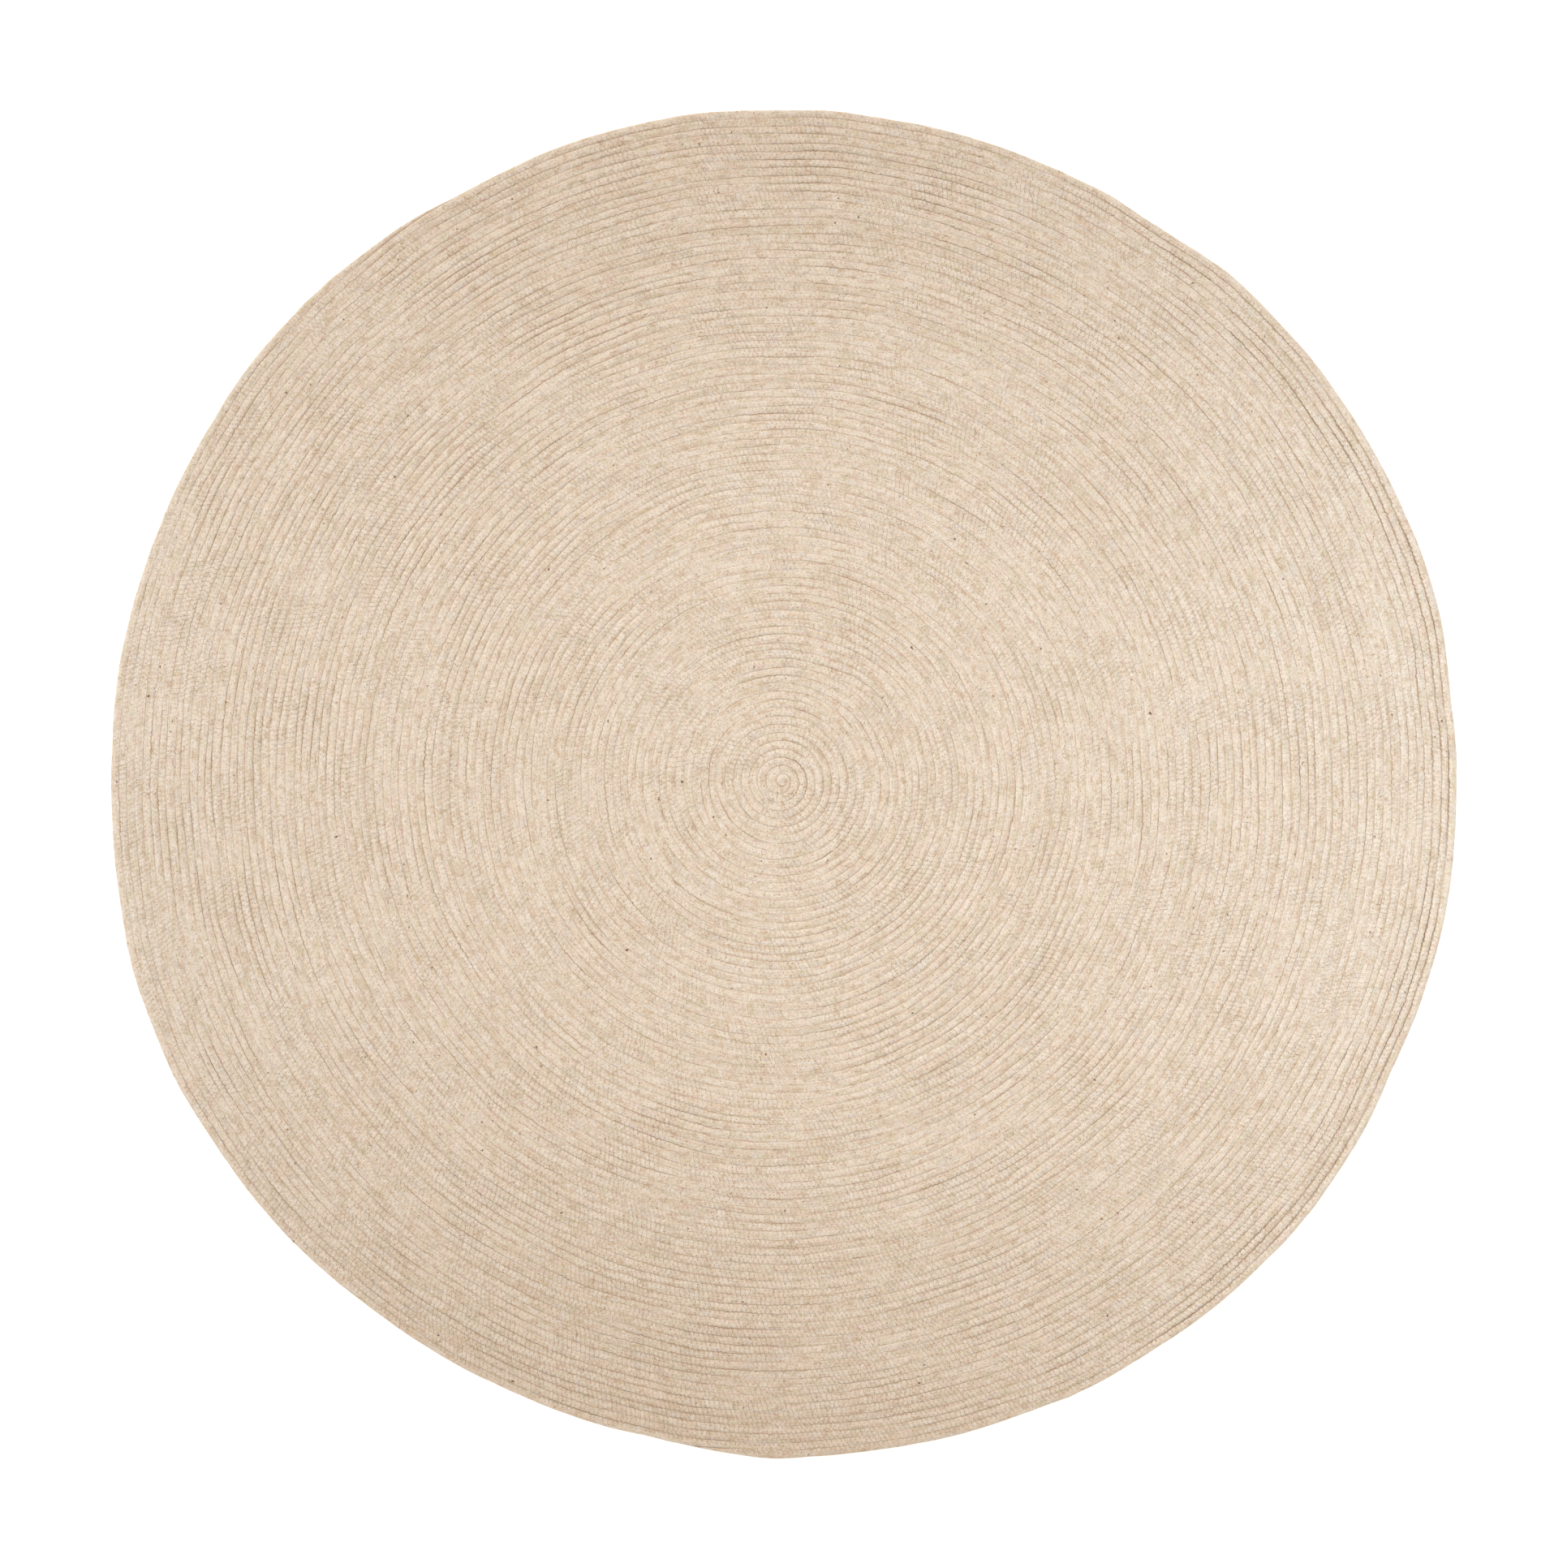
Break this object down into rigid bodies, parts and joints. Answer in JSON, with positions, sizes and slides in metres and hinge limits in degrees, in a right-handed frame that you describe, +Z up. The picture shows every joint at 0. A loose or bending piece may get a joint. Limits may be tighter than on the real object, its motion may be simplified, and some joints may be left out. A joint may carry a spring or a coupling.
{
  "type": "round wool rug",
  "caption": "Round flat rug of felted wool cord, wound in a spiral from the middle and zigzag stitched turn to turn, in natural oatmeal.",
  "frame": {"origin": "on the floor under the middle of the rug's outline", "axes": "+Z up out of the rug's face, +Y to the top and +X to the right of the picture; the cord winds outwards clockwise seen from +Z"},
  "size_m": [1.9975, 2.0002, 0.01],
  "materials": {
    "felted_wool": "felted undyed wool, matt, with a short fuzz and mottled along the cord"
  },
  "bodies": {
    "root": {"rug": "felted_wool"}
  },
  "joints": []
}
